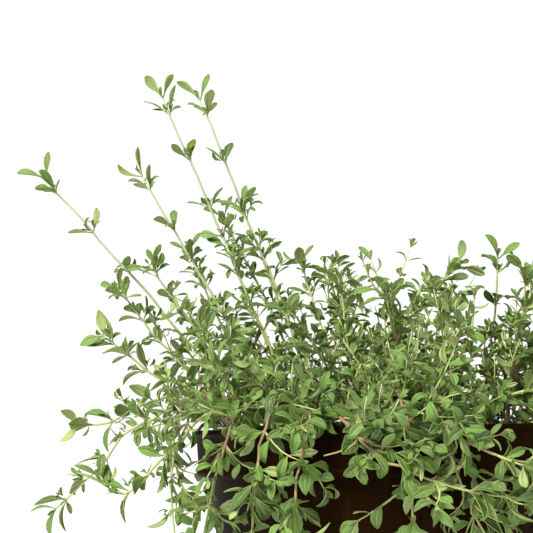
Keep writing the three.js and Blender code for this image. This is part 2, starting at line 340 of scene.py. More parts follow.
def spun(outline, steps):
    """A bmesh turned about Z from an outline of (radius, height) pairs"""
    bm = bmesh.new()
    corners = [bm.verts.new((radius, 0, height)) for radius, height in outline]
    edges = [bm.edges.new(pair) for pair in zip(corners, corners[1:])]
    whole = dict(axis=(0, 0, 1), cent=(0, 0, 0), angle=2 * math.pi, use_merge=True)
    bmesh.ops.spin(bm, geom=corners + edges, steps=steps, **whole)
    bmesh.ops.remove_doubles(bm, verts=bm.verts, dist=0.001)
    bmesh.ops.recalc_face_normals(bm, faces=bm.faces)
    return bm


def push(point, patch):
    """A smooth push in any direction, alike within a patch of that many millimetres"""
    layers = (Vector((0, 0, 50 * axis)) for axis in range(3))
    return Vector([noise.noise(point / patch + layer) for layer in layers])


def finish_piece(name, bm, materials, nodes):
    """Turns a bmesh in millimetres into a piece of the frame that stands for CAD nodes"""
    bmesh.ops.scale(bm, vec=(MM, MM, MM), verts=bm.verts)
    mesh = mesh_from(name, bm)
    for material in materials:
        mesh.materials.append(material)
    piece = add_object(name, mesh)
    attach(piece, "root")
    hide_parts(*nodes)
    return piece


print("pot wall leans", round(SHOULDER_RADIUS - BASE_RADIUS), "mm outwards over", RIM_FOOT, "mm")

# %% Spin the pot and cut its drains
POT_OUTLINE = [
    (0, 0),
    (PAD_RADIUS, 0),
    (PAD_RADIUS + 1.5, CHANNEL_RISE),
    (CHANNEL_END, CHANNEL_RISE),
    (CHANNEL_END + 1.5, 0),
    (BASE_RADIUS, 0),
    (SHOULDER_RADIUS, RIM_FOOT),
    (BEAD_RADIUS - 0.7, RIM_FOOT),
    (BEAD_RADIUS, RIM_FOOT + 1),
    (BEAD_RADIUS, RIM_FOOT + 2.4),
    (BEAD_RADIUS - 0.9, RIM_FOOT + 3.4),
    (LIP_RADIUS - 0.6, POT_HEIGHT - 2.6),
    (LIP_RADIUS, POT_HEIGHT - 1.6),
    (LIP_RADIUS - 0.5, POT_HEIGHT),
    (INNER_RIM + 0.5, POT_HEIGHT),
    (INNER_RIM, POT_HEIGHT - 1.2),
    (INNER_RIM - 0.4, RIM_FOOT + 3),
    (SHOULDER_RADIUS - WALL, RIM_FOOT + 0.6),
    (body_radius(FLOOR_TOP) - WALL, FLOOR_TOP),
    (0, FLOOR_TOP),
]


def drain_cutters():
    bm = bmesh.new()
    for hole in range(DRAIN_HOLES):
        turn = Matrix.Rotation(2 * math.pi * hole / DRAIN_HOLES, 4, "Z")
        middle = turn @ Matrix.Translation(((PAD_RADIUS + CHANNEL_END) / 2 + 1, 0, FLOOR_TOP / 2))
        drill = dict(segments=32, radius1=DRAIN_RADIUS, radius2=DRAIN_RADIUS, depth=FLOOR_TOP + 4)
        bmesh.ops.create_cone(bm, cap_ends=True, matrix=middle, **drill)
        foot = turn @ Matrix.Translation((BASE_RADIUS - 1, 0, 0)) @ Matrix.Diagonal((*NOTCH, 1))
        bmesh.ops.create_cube(bm, size=1, matrix=foot)
    bmesh.ops.scale(bm, vec=(MM, MM, MM), verts=bm.verts)
    return add_object("drain_cutters", mesh_from("drain_cutters", bm))


def cut(piece, cutter):
    """Takes a cutter out of a piece, leaves the result as the piece's mesh and removes the cutter"""
    step = piece.modifiers.new("cut", "BOOLEAN")
    step.operation = "DIFFERENCE"
    step.solver = "EXACT"
    step.object = cutter
    result = piece.evaluated_get(bpy.context.evaluated_depsgraph_get())
    mesh = bpy.data.meshes.new_from_object(result)
    piece.modifiers.clear()
    old = piece.data
    piece.data = mesh
    bpy.data.meshes.remove(old)
    bpy.data.objects.remove(cutter)


def make_pot():
    bm = spun(POT_OUTLINE, POT_STEPS)
    rings = [e for e in bm.edges if e.calc_face_angle(0) > EDGE_ANGLE]
    rounding = dict(offset=EDGE_BEVEL, segments=2, profile=0.5, clamp_overlap=True)
    bmesh.ops.bevel(bm, geom=rings, affect="EDGES", material=-1, **rounding)
    pot = finish_piece("nursery_pot", bm, [plastic], ["pot"])
    cut(pot, drain_cutters())
    pot.data.shade_smooth()
    pot.data.set_sharp_from_angle(angle=math.radians(35))
    return pot


pot = make_pot()
print("pot faces:", len(pot.data.polygons))

# %% [markdown]
# ## The finish of the soil
# Potting soil is dark, damp peat with lighter fibres. Bits of bark and white perlite lie in it. One
# material serves all of them: a number painted on the mesh says how pale a bit is, and noise breaks
# the colour up.

# %% Mix the soil
PEAT = picture_colour(44, 32, 24)
PEAT_LIGHT = picture_colour(86, 64, 46)
BARK = picture_colour(120, 84, 56)
PERLITE = picture_colour(222, 216, 204)


def make_soil_finish():
    soil = Finish("potting_soil")
    kind = soil.attribute("kind")
    crumbs = soil.noise(1.6, detail=5)
    peat = soil.mix(soil.step(crumbs, 0.4, 0.7), PEAT, PEAT_LIGHT)
    with_bark = soil.mix(soil.step(kind, 0.2, 0.5), peat, soil.mix(crumbs, PEAT_LIGHT, BARK))
    soil.set(base_color=soil.mix(soil.step(kind, 0.6, 0.9), with_bark, PERLITE))
    soil.set(roughness=0.85 + 0.15 * crumbs)
    soil.bump(crumbs, 0.6)
    return soil.material


soil_finish = make_soil_finish()
print("soil finish:", soil_finish.name)

# %% [markdown]
# ## The soil
# The soil fills the pot up to the foot of the rim band. Its outline is spun like the pot's, with many
# steps along the top so that noise can raise and dent it, and crumbs, bark chips and perlite grains
# are pressed half into it. Each is a ball of twenty faces or a cube of six, pushed out of shape.

# %% Spin the soil and scatter its bits
SOIL_TOP = RIM_FOOT
SOIL_EDGE = 142
SOIL_SLOPE = 7
SOIL_GAP = 0.3
SOIL_BOTTOM = FLOOR_TOP + SOIL_GAP
SOIL_ROUGHNESS = 1.6
CRUMBS = 520
CHIPS = 110
GRAINS = 60
TOP_RINGS = 48
SPUN_STEPS = 120
SCATTER_MARGIN = 4
SOIL_SEED = 4


def inside(height):
    """The soil's radius at a height, a hair inside the wall"""
    return body_radius(height) - WALL - SOIL_GAP


def soil_height(x, y):
    """The height of the soil's top: uneven, about level with the rim's foot and lower at the edge"""
    out = math.hypot(x, y)
    edge = inside(SOIL_EDGE)
    fall = max(0.0, (out - edge + SOIL_SLOPE) / SOIL_SLOPE) * (SOIL_TOP - SOIL_EDGE)
    dents = noise.noise(Vector((x, y, 0)) * 0.07) + 0.6 * noise.noise(Vector((x, y, 9)) * 0.25)
    return SOIL_TOP - fall + SOIL_ROUGHNESS * dents * 0.6


def add_bit(bm, shape, kind_layer, kind, place, size, turn):
    """One crumb, chip or grain, pushed out of shape"""
    first = len(bm.verts)
    matrix = Matrix.Translation(place) @ turn @ Matrix.Diagonal((*size, 1))
    if shape == "ball":
        bmesh.ops.create_icosphere(bm, subdivisions=1, radius=0.5, matrix=matrix)
    else:
        bmesh.ops.create_cube(bm, size=1, matrix=matrix)
    for vert in bm.verts[first:]:
        vert[kind_layer] = kind
        vert.co += push(vert.co, 1.1) * min(size) * 0.4


def make_soil():
    edge = inside(SOIL_EDGE)
    top = [(edge * step / TOP_RINGS, SOIL_TOP) for step in range(TOP_RINGS + 1)]
    bm = spun([(0, SOIL_BOTTOM), (inside(SOIL_BOTTOM), SOIL_BOTTOM), *reversed(top)], SPUN_STEPS)
    kind = bm.verts.layers.float.new("kind")
    for vert in bm.verts:
        if vert.co.z > SOIL_EDGE:
            vert.co.z = soil_height(vert.co.x, vert.co.y)
    dice = random.Random(SOIL_SEED)
    # The kinds: shape, how many, how pale, and the smallest and largest size in three directions
    bits = [
        ("ball", CRUMBS, 0.1, (1.2, 1.2, 1.0), (3.8, 3.4, 2.4)),
        ("cube", CHIPS, 0.5, (3.0, 1.2, 0.7), (8.5, 3.0, 1.6)),
        ("ball", GRAINS, 1.0, (1.2, 1.2, 1.0), (2.8, 2.6, 2.2)),
    ]
    for shape, count, pale, smallest, largest in bits:
        for _ in range(count):
            spot = around(dice.uniform(0, 2 * math.pi), (edge - SCATTER_MARGIN) * math.sqrt(dice.random()))
            spot.z = soil_height(spot.x, spot.y) + 0.1
            size = [dice.uniform(*span) for span in zip(smallest, largest)]
            turn = Matrix.Rotation(dice.uniform(0, 6.28), 4, "Z")
            turn = turn @ Matrix.Rotation(dice.uniform(-0.5, 0.5), 4, "X")
            add_bit(bm, shape, kind, pale, spot, size, turn)
    bmesh.ops.recalc_face_normals(bm, faces=bm.faces)
    soil = finish_piece("potting_soil", bm, [soil_finish], ["soil"])
    soil.data.shade_smooth()
    soil.data.set_sharp_from_angle(angle=math.radians(50))
    return soil


soil = make_soil()
print("soil faces:", len(soil.data.polygons), "top at", round(soil_height(0, 0), 1), "mm")

# %% [markdown]
# ## Where the stems go
# The stems stand where the CAD has them, so this cell repeats its sizes: a root, two points that pull
# the curve, and a tip for each. A sprig's two points are worked out from how far it arches. The named
# stems follow the photograph. The rest are placed by the CAD's rule, with the same seeded random
# numbers, so that they land on the same curves.

# %% The named stems
ROOT_HEIGHT = 137
QUARTER_TURN = math.pi / 2
GOLDEN_ANGLE = math.pi * (3 - math.sqrt(5))
SEED = 20
ROUTE_POINTS = 25

SPRIG = dict(leaf=12, pairs=6, leafy=0.38, arch=0)
SPRIGS = {
    "far_left": dict(root=(-42, 8), tip=(-141, -5, 270), leaf=12.5, pairs=5),
    "left_inner": dict(root=(-35, -5), tip=(-101, -6, 270), pairs=5),
    "tall_left": dict(root=(-34, 18), tip=(-93, 8, 305), leaf=13, leafy=0.44, pairs=5),
    "tall_right": dict(root=(-23, 2), tip=(-76, 1, 302), leaf=13, leafy=0.44, pairs=5),
    "front_of_tall": dict(root=(-17, -17), tip=(-59, -18, 254), leaf=11),
    "behind_tall": dict(root=(-22, 29), tip=(-69, 26, 254), leaf=11, leafy=0.44),
    "left_cluster": dict(root=(-31, -24), tip=(-66, -31, 242)),
    "left_back": dict(root=(-46, 24), tip=(-84, 18, 239), leaf=11),
    "left_low": dict(root=(-52, -8), tip=(-111, -12, 223)),
    "left_mid": dict(root=(-44, -20), tip=(-96, -23, 232), leaf=10),
    "top_middle": dict(root=(-12, -22), tip=(-20, -25, 224), leaf=10),
    "mauve_front": dict(root=(-8, -8), tip=(27, -4, 228), leafy=0.62, pairs=4, arch=1),
    "mauve_back": dict(root=(-10, 12), tip=(20, 9, 224), leaf=11, leafy=0.62, pairs=4, arch=1),
    "mauve_right": dict(root=(14, 20), tip=(60, 21, 214), leaf=10, leafy=0.5, pairs=5, arch=0.8),
    "right_upright": dict(root=(34, 5), tip=(46, 2, 229), leafy=0.5, pairs=4),
    "right_front": dict(root=(42, -12), tip=(57, -17, 222), leafy=0.5, pairs=5),
    "right_outer": dict(root=(56, 8), tip=(106, 22, 228)),
    "back_left": dict(root=(-14, 44), tip=(-38, 66, 236)),
    "back_right": dict(root=(26, 42), tip=(64, 66, 224)),
}
TRAILER = dict(leaf=14, pairs=6, leafy=0.47)
TRAILERS = {
    "left_high": ((-55, -18), (-60, -22, 186), (-88, -27, 180), (-116, -30, 202)),
    "left_arch": ((-54, -31), (-74, -36, 214), (-104, -41, 162), (-134, -40, 137)),
    "left_wisp": ((-60, 4), (-76, 2, 208), (-100, -2, 170), (-128, -4, 169)),
    "left_hang": ((-62, 17), (-82, 17, 226), (-103, 6, 160), (-88, -14, 106)),
    "left_upturn": ((-46, -42), (-70, -56, 222), (-98, -54, 118), (-115, -48, 146)),
    "front_left": ((-38, -36), (-56, -64, 212), (-66, -88, 158), (-77, -66, 112)),
    "front_curl": ((-27, -41), (-40, -74, 218), (-56, -100, 152), (-54, -82, 114)),
    "front_steep": ((-18, -40), (-34, -76, 216), (-40, -110, 150), (-36, -88, 96)),
    "front_across": ((-10, -44), (-32, -76, 206), (-30, -120, 146), (44, -104, 138)),
    "front_drop": ((1, -49), (1, -82, 222), (8, -110, 160), (6, -90, 102)),
    "front_mauve": ((10, -42), (0, -80, 200), (10, -122, 148), (62, -98, 152)),
    "front_right": ((24, -44), (16, -78, 214), (14, -106, 150), (36, -88, 120)),
    "right_across": ((48, -30), (76, -46, 222), (100, -60, 152), (84, -72, 122)),
    "right_reach": ((34, -30), (30, -50, 200), (40, -74, 162), (94, -58, 186)),
}


def named_stems():
    stems = []
    for name, own in SPRIGS.items():
        stem = {**SPRIG, **own, "name": "sprig_" + name}
        root = Vector((*stem["root"], ROOT_HEIGHT))
        tip = Vector(stem["tip"])

        def part(aside, up):
            return Vector((*root.xy.lerp(tip.xy, aside), root.z + (tip.z - root.z) * up))

        arch = stem["arch"]
        lift = part(0.18 - 0.16 * arch, 0.32 + 0.18 * arch)
        bend = part(0.66 - 0.3 * arch, 0.68 + 0.18 * arch)
        stem["curve"] = [root, lift, bend, tip]
        stems.append(stem)
    for name, (root, lift, bend, tip) in TRAILERS.items():
        curve = [Vector((*root, ROOT_HEIGHT)), Vector(lift), Vector(bend), Vector(tip)]
        stems.append({**TRAILER, "name": "trailer_" + name, "curve": curve})
    return stems


stems = named_stems()
print("named stems:", len(stems))

# %% [markdown]
# ## The stems placed by rule
# Seven more trailers hang from the right round the back, and eighteen short stems fill the bush. The
# rule spreads the bush's tips over a dome by the golden angle, passes over places that are taken, and
# turns a stem about the pot's axis until it clears the others. The simple random numbers are written
# out here, because Python's own differ from the CAD's.

# %% Hanging stems
HANGING = dict(stems=7, start=-0.35, end=2.75, root=61, lift=74, bend=115, tip=99)
HANGING_HEIGHTS = dict(lift=214, bend=170, lowest=96, highest=140)
ROOM = 4.5
TRIES = 60
TURN_STEP = 0.06


def random_from(seed):
    """Seeded random numbers from 0 to 1, the CAD's own"""
    state = seed
    while True:
        state = (state * 1664525 + 1013904223) % 2**32
        yield state / 2**32


def lerp(start, end, share):
    return start + (end - start) * share


def route_of(stem):
    return interpolate_bezier(*stem["curve"], ROUTE_POINTS)


def place_by_rule(name, bearing, make_stem):
    """A stem that is turned about the pot's axis until it clears all the others"""
    for tries in range(TRIES):
        turn = (1 if tries % 2 else -1) * math.ceil(tries / 2) * TURN_STEP
        stem = {**make_stem(bearing + turn), "name": name}
        route = route_of(stem)
        others = [point for other in stems for point in other["route"]]
        if all((point - other).length > ROOM for point in route for other in others):
            return {**stem, "route": route}
    raise ValueError("no free way for " + name)


def add_hanging(draw):
    for i in range(HANGING["stems"]):
        bearing = lerp(HANGING["start"], HANGING["end"], i / (HANGING["stems"] - 1))
        low = lerp(HANGING_HEIGHTS["lowest"], HANGING_HEIGHTS["highest"], next(draw))

        def make_stem(turned):
            curve = [
                around(turned, HANGING["root"], ROOT_HEIGHT),
                around(turned, HANGING["lift"], HANGING_HEIGHTS["lift"]),
                around(turned, HANGING["bend"], HANGING_HEIGHTS["bend"]),
                around(turned, HANGING["tip"], low),
            ]
            return {**TRAILER, "curve": curve}

        stems.append(place_by_rule(f"hanging_stem_{i + 1}", bearing, make_stem))


for stem in stems:
    stem["route"] = route_of(stem)
draw = random_from(SEED)
add_hanging(draw)
print("stems with the hanging ones:", len(stems))

# %% Bush stems
BUSH = dict(stems=18, places=44, stride=17, apart=19, reach=98, rise=59, base=166, opening=1.62)
BUSH_STEM = dict(leaf=10, pairs=6, leafy=0.34)
BUSH_ROOT = 54
BUSH_LIFT = 176
TIP_RUN = 28


def bush_curve(turned, lean, reach, top):
    root_out = BUSH_ROOT * (lean / BUSH["opening"]) ** 0.8
    tip_lean = lean * 1.15
    return [
        around(turned, root_out, ROOT_HEIGHT),
        around(turned, root_out + reach * 0.06, BUSH_LIFT),
        around(turned, reach - TIP_RUN * math.sin(tip_lean), top - TIP_RUN * math.cos(tip_lean)),
        around(turned, reach, top),
    ]


def add_bush(draw):
    made = 0
    for i in range(BUSH["places"]):
        place = i * BUSH["stride"] % BUSH["places"]
        lean = math.acos(1 - (place + 0.5) / BUSH["places"] * (1 - math.cos(BUSH["opening"])))
        reach = BUSH["reach"] * math.sin(lean) * (0.92 + 0.16 * next(draw))
        top = BUSH["base"] + BUSH["rise"] * math.cos(lean) * (0.9 + 0.2 * next(draw))
        bearing = place * GOLDEN_ANGLE + 0.5
        tip = around(bearing, reach, top)
        ends = [point for stem in stems for point in stem["route"][-6:]]
        if all((point - tip).length > BUSH["apart"] for point in ends):
            made += 1

            def make_stem(turned):
                return {**BUSH_STEM, "curve": bush_curve(turned, lean, reach, top)}

            stems.append(place_by_rule(f"bush_stem_{made:02d}", bearing, make_stem))
        if made == BUSH["stems"]:
            return


add_bush(draw)


def worst_miss():
    """How far a stem's route lies outside its CAD node's box at the most, in millimetres"""
    miss = 0
    for stem in stems:
        low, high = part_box(stem["name"])
        for point in stem["route"][1:]:
            over = [max(a - p * MM, p * MM - b, 0) for a, b, p in zip(low, high, point)]
            miss = max(miss, *over)
    return miss / MM


print("all stems:", len(stems), "- worst miss of a CAD box:", round(worst_miss(), 2), "mm")

# %% [markdown]
# ## One thyme leaf
# A thyme leaf is a small blunt spoon: a short stalk widens into a blade with a rounded tip, the
# midrib lies in a shallow fold, and older leaves curl downwards along their length. On one plant the
# blades differ: long spoons on the tall sprigs, round ones on the woody stems, ovals on the trailers
# and small ones on the twigs. A grid two faces wide and a few faces long is enough for all: its rows
# are moved to an outline, bent along an arc and folded at the midrib, and solidify gives it the
# thickness of a real leaf. It is repeated thousands of times, so it stays under fifty faces. The
# coordinates for its finish run across and along the blade.

# %% Model the leaf shapes
# Places along the leaf and half widths there, as shares of its length
SPOON_LEAF = [
    (0, 0.025),
    (0.2, 0.028),
    (0.36, 0.06),
    (0.5, 0.12),
    (0.66, 0.165),
    (0.81, 0.165),
    (0.93, 0.105),
    (1, 0.03),
]
ROUND_LEAF = [
    (0, 0.025),
    (0.2, 0.03),
    (0.34, 0.09),
    (0.48, 0.19),
    (0.65, 0.24),
    (0.82, 0.22),
    (0.94, 0.13),
    (1, 0.03),
]
OVAL_LEAF = [
    (0, 0.028),
    (0.14, 0.03),
    (0.26, 0.085),
    (0.4, 0.17),
    (0.56, 0.21),
    (0.73, 0.185),
    (0.89, 0.1),
    (1, 0.015),
]
SMALL_LEAF = [(0, 0.03), (0.22, 0.055), (0.48, 0.165), (0.74, 0.175), (0.92, 0.1), (1, 0.02)]
LEAF_THICKNESS = 0.028
RISING = 0.4


def leaf_shape(name, outline, curl, fold, sweep):
    """A leaf of length 1 along Y from the origin: folded at the midrib, curled on an arc, swept aside"""
    bm = bmesh.new()
    bm.loops.layers.uv.new("leaf")
    under = bm.verts.layers.float.new("under")
    rows = len(outline) - 1
    bmesh.ops.create_grid(bm, x_segments=2, y_segments=rows, size=0.5, calc_uvs=True)
    start = RISING * curl
    for vert in bm.verts:
        along, half = outline[round((vert.co.y + 0.5) * rows)]
        aside = 2 * vert.co.x * half
        rise = fold * abs(aside)
        slope = start - curl * along
        run = (math.sin(start) - math.sin(slope)) / curl - rise * math.sin(slope)
        height = (math.cos(slope) - math.cos(start)) / curl + rise * math.cos(slope)
        vert.co = (aside + sweep * along * along, run, height)
    made = bmesh.ops.solidify(bm, geom=bm.faces[:], thickness=LEAF_THICKNESS)
    for vert in made["geom"]:
        if isinstance(vert, bmesh.types.BMVert):
            vert[under] = 1
    bmesh.ops.recalc_face_normals(bm, faces=bm.faces)
    for face in bm.faces:
        face.smooth = True
        face.material_index = 1
    for edge in bm.edges:
        edge.smooth = edge.calc_face_angle(0) < 1.0
    return mesh_from(name, bm)


# The angle of the arc, the fold's steepness and the sideways sweep: five shapes for each outline
CURLS = [(0.3, 0.2, 0.04), (0.6, 0.12, -0.07), (1.0, 0.35, 0.08), (1.6, 0.5, -0.05), (2.3, 0.3, 0.04)]


def leaf_shapes(name, outline):
    return [leaf_shape(f"{name}_{i}", outline, *bends) for i, bends in enumerate(CURLS)]


spoons = leaf_shapes("spoon", SPOON_LEAF)
rounds = leaf_shapes("round", ROUND_LEAF)
ovals = leaf_shapes("oval", OVAL_LEAF)
leaflets = leaf_shapes("leaflet", SMALL_LEAF)
print("faces of a leaf:", len(ovals[0].polygons), "and of a leaflet:", len(leaflets[0].polygons))

# %% [markdown]
# ## A stem's middle line
# Everything on a stem needs to know where it stands: the point, the way the stem runs there and a
# sideways direction that turns with it. A small class keeps these for a list of points, with what its
# leaves share: a tint, and how much they droop. It measures shares along the length, as the CAD does,
# so its leaf pairs come out in the CAD's places. A real stem is never a clean curve, so its points
# stray a little, but not into the pot.


# %% Follow a stem
class Track:
    def __init__(self, points, side, tint=0.5, droop=0):
        self.points = points
        self.tint = tint
        self.droop = droop
        ends = [points[0], *points, points[-1]]
        self.ways = [(after - before).normalized() for before, after in zip(ends, ends[2:])]
        self.sides = []
        for way in self.ways:
            side = (side - way * side.dot(way)).normalized()
            self.sides.append(side)
        steps = [(b - a).length for a, b in zip(points, points[1:])]
        self.reached = [0, *accumulate(steps)]
        self.length = self.reached[-1]

    def at(self, share):
        """The point, the way and the side at a share of the length"""
        wanted = min(share * self.length, self.length * 0.9999)
        lower = next(i for i, reach in enumerate(self.reached) if reach > wanted) - 1
        run = self.reached[lower + 1] - self.reached[lower]
        part = (wanted - self.reached[lower]) / run
        point = self.points[lower].lerp(self.points[lower + 1], part)
        return point, self.ways[lower], self.sides[lower]

    def leaving(self, share, turn, opening):
        """The foot of what grows at a share, the stem's way, the side it is on and its own way"""
        foot, way, side = self.at(share)
        across = Matrix.Rotation(turn, 3, way) @ side
        return foot, way, across, way * math.cos(opening) + across * math.sin(opening)


WALL_CLEARANCE = 1.2
STEM_STEP = 5
WIDE_STRAY = 22
FINE_STRAY = 7
FIRM_POINTS = 8


def clear_of_pot(point):
    """Whether a point is above the rim, outside the wall, or inside the rim and above the soil"""
    out = math.hypot(point.x, point.y)
    wall = LIP_RADIUS if point.z > RIM_FOOT else body_radius(point.z)
    over = point.z > POT_HEIGHT + WALL_CLEARANCE
    outside = out > wall + WALL_CLEARANCE
    within = out < INNER_RIM - WALL_CLEARANCE - 1 and point.z > SOIL_TOP + WALL_CLEARANCE
    return over or outside or within


def stem_track(stem, most, droop=0):
    """The track of a stem whose points stray from its curve by about so many millimetres at most"""
    rough = sum((b - a).length for a, b in zip(stem["route"], stem["route"][1:]))
    points = interpolate_bezier(*stem["curve"], round(rough / STEM_STEP) + 1)
    for i, point in enumerate(points):
        stray = push(point, WIDE_STRAY) + 0.35 * push(point, FINE_STRAY)
        moved = point + stray * most * min(1, i / FIRM_POINTS)
        if point.z > SOIL_TOP + 3 and clear_of_pot(moved):
            points[i] = moved
    turn = SEED * stem["curve"][3].length
    return Track(points, Vector((math.cos(turn), math.sin(turn), 0)), droop=droop)


print("longest stem:", round(max(stem_track(stem, 0).length for stem in stems)), "mm")

# %% [markdown]
# ## Drawing a stem
# A thyme stem is thin and nearly square, woody at the root and soft at the tip. A circle of a few
# corners is extruded from point to point along the track: each new ring starts on the last one and
# one matrix takes it from the old place to the new. The age of the wood is painted on as it grows.

# %% Extrude a tube along a track
LAYERS = ("tint", "age_and_shade", "wood", "under")


def new_growth():
    bm = bmesh.new()
    bm.loops.layers.uv.new("leaf")
    for name in LAYERS:
        bm.verts.layers.float.new(name)
    return bm


def frame_matrix(across, along, up, place):
    """A matrix from three directions and a place"""
    columns = (across, along, up, place)
    return Matrix([(*row,) for row in zip(*columns)] + [(0, 0, 0, 1)])


def draw_tube(bm, track, radii, sides, wood):
    """A closed tube, with its radius and its woodiness going from the first value to the last"""
    layer = bm.verts.layers.float["wood"]
    last = len(track.points) - 1
    frames = []
    for i, (point, way, side) in enumerate(zip(track.points, track.ways, track.sides)):
        radius = lerp(*radii, i / last)
        frames.append(frame_matrix(side * radius, way.cross(side) * radius, way * radius, point))
    ring = bmesh.ops.create_circle(bm, cap_ends=True, segments=sides, radius=1, matrix=frames[0])["verts"]
    edges = ring[0].link_faces[0].edges[:]
    for vert in ring:
        vert[layer] = wood[0]
    for i in range(1, last + 1):
        grown = bmesh.ops.extrude_edge_only(bm, edges=edges)["geom"]
        ring = [part for part in grown if isinstance(part, bmesh.types.BMVert)]
        grown_edges = [part for part in grown if isinstance(part, bmesh.types.BMEdge)]
        edges = [edge for edge in grown_edges if set(ring).issuperset(edge.verts)]
        step = frames[i] @ frames[i - 1].inverted()
        bmesh.ops.transform(bm, matrix=step, verts=ring)
        for vert in ring:
            vert[layer] = lerp(*wood, i / last)
    bmesh.ops.edgeloop_fill(bm, edges=edges)


print("numbers painted on a stem:", ", ".join(LAYERS))

# %% [markdown]
# ## Setting leaves on a stem
# Thyme leaves stand in opposite pairs, each pair a quarter turn from the one below. They open wide
# low on a stem and close up towards the tip, and on a hanging stem they droop. Their faces look up
# along the stem, to the sky and out of the bush, and now and then one is turned over and shows its
# pale underside. No leaf may pass through the pot: one that would is bent up or down in steps, and
# left out if no bend clears the wall.

# %% Place leaves
BENDS = (0, 0.3, -0.3, 0.6, -0.6, 1.0)
OPPOSITE = (0, math.pi)
TURNED_OVER = 0.14
LEAF_WIDTHS = (0.72, 1.15)
LEAF_TESTS = (0.35, 0.7, 1)
OWN_TINT = 0.6
OPENINGS = (1.3, 0.8)
ALONG_STEM = 0.6
SKYWARD = 0.8
OUTWARD = 0.5


def leaf_stance(track, share, turn, opening, roll):
    """The foot of a leaf and its three directions: across, along and up from its face"""
    foot, way, _, along = track.leaving(share, turn, opening)
    along = (along - Vector((0, 0, track.droop))).normalized()
    outward = Vector((foot.x, foot.y, 0)) / BUSH["reach"]
    face = way * ALONG_STEM + Vector((0, 0, SKYWARD)) + outward * OUTWARD
    face = (face - along * face.dot(along)).normalized()
    face = Matrix.Rotation(roll, 3, along) @ face
    return foot, along.cross(face), along, face


def set_leaf(bm, shape, stance, length, width, tint, age_and_shade):
    """Copies a leaf shape to where it stands, unless it would touch the pot"""
    foot, across, along, face = stance
    if not all(clear_of_pot(foot + along * length * share) for share in LEAF_TESTS):
        return False
    first = len(bm.verts)
    bm.from_mesh(shape)
    fresh = bm.verts[first:]
    matrix = frame_matrix(across * length * width, along * length, face * length, foot)
    bmesh.ops.transform(bm, matrix=matrix, verts=fresh)
    tint_layer = bm.verts.layers.float["tint"]
    age_and_shade_layer = bm.verts.layers.float["age_and_shade"]
    for vert in fresh:
        vert[tint_layer] = tint
        vert[age_and_shade_layer] = age_and_shade
    return True


def grow_leaf(bm, shapes, track, share, turn, opening, roll, length, age_and_shade, dice):
    """Sets one leaf and returns 1, or 0 if the pot is in its way"""
    shape = dice.choice(shapes)
    width = dice.uniform(*LEAF_WIDTHS)
    tint = lerp(track.tint, dice.random(), OWN_TINT)
    over = math.pi if dice.random() < TURNED_OVER else 0
    for bend in BENDS:
        stance = leaf_stance(track, share, turn, opening + bend, roll + over)
        if set_leaf(bm, shape, stance, length, width, tint, age_and_shade):
            return 1
    return 0


print("a leaf keeps", WALL_CLEARANCE, "mm from the pot")

# %% [markdown]
# ## Side shoots and tufts
# In the angle above almost every leaf sits a side shoot. High on a stem it is only a tuft of small
# leaves, and lower down it is a leafy twig that turns up to the light. One rule grows both from a
# length: a pair of leaves every few millimetres, of which some are lost, and a closed pair at the end.
# The stem itself ends in a crown on a last bit of soft stem: one full pair that opens to the left and
# the right of the front view, where the photograph shows it, and a bud inside it.

# %% Grow a side shoot
SHOOT_STEP = 7
LOST_LEAVES = 0.12
BUD = 0.45
BUD_OPENING = 0.45
LARGE_LEAF = 10
TUFT = 5
SHOOT_RADII = (0.48, 0.26)
SHOOT_OPENING = (0.5, 0.95)
SHOOT_DRIFT = 0.45
SHOOT_RISE = 0.5
STRAW = 1.6


def shoot_track(track, share, turn, length, dice):
    """A short curve that leaves a stem and turns up, or nothing if the pot is in its way"""
    foot, _, across, start = track.leaving(share, turn, dice.uniform(*SHOOT_OPENING))
    drift = Vector((dice.uniform(-1, 1), dice.uniform(-1, 1), dice.uniform(-0.2, 0.6))) * SHOOT_DRIFT
    rise = Vector((0, 0, SHOOT_RISE - 1.5 * track.droop))
    end = foot + (start * 0.75 + rise + drift).normalized() * length
    handle = foot + start * length * 0.5
    points = interpolate_bezier(foot, handle, handle.lerp(end, 0.5), end, 3 + int(length / 8))
    if all(clear_of_pot(point) for point in points[1:]):
        return Track(points, across, dice.random(), track.droop)
    return None


def leaf_out(bm, track, pairs, leaf, age_and_shade, dice):
    """Pairs of leaves up a shoot, a little smaller and less open at its tip"""
    made = 0
    turn = dice.uniform(0, 3)
    for pair in range(pairs + 1):
        share = (pair + 0.7) / (pairs + 0.7)
        size = leaf * lerp(1.05, 0.75, share) * dice.uniform(0.7, 1.2)
        opening = lerp(*OPENINGS, share) + dice.uniform(-0.3, 0.3)
        turn += QUARTER_TURN
        for half_turn in OPPOSITE:
            if dice.random() < LOST_LEAVES:
                continue
            roll = dice.uniform(-0.9, 0.9)
            young = lerp(age_and_shade, age_and_shade * 0.4, share)
            shapes = ovals if leaf > LARGE_LEAF else leaflets
            made += grow_leaf(bm, shapes, track, share, turn + half_turn, opening, roll, size, young, dice)
    for half_turn in OPPOSITE:
        last = turn + QUARTER_TURN + half_turn
        made += grow_leaf(bm, leaflets[:3], track, 1, last, BUD_OPENING, 0, leaf * BUD, age_and_shade * 0.2, dice)
    return made


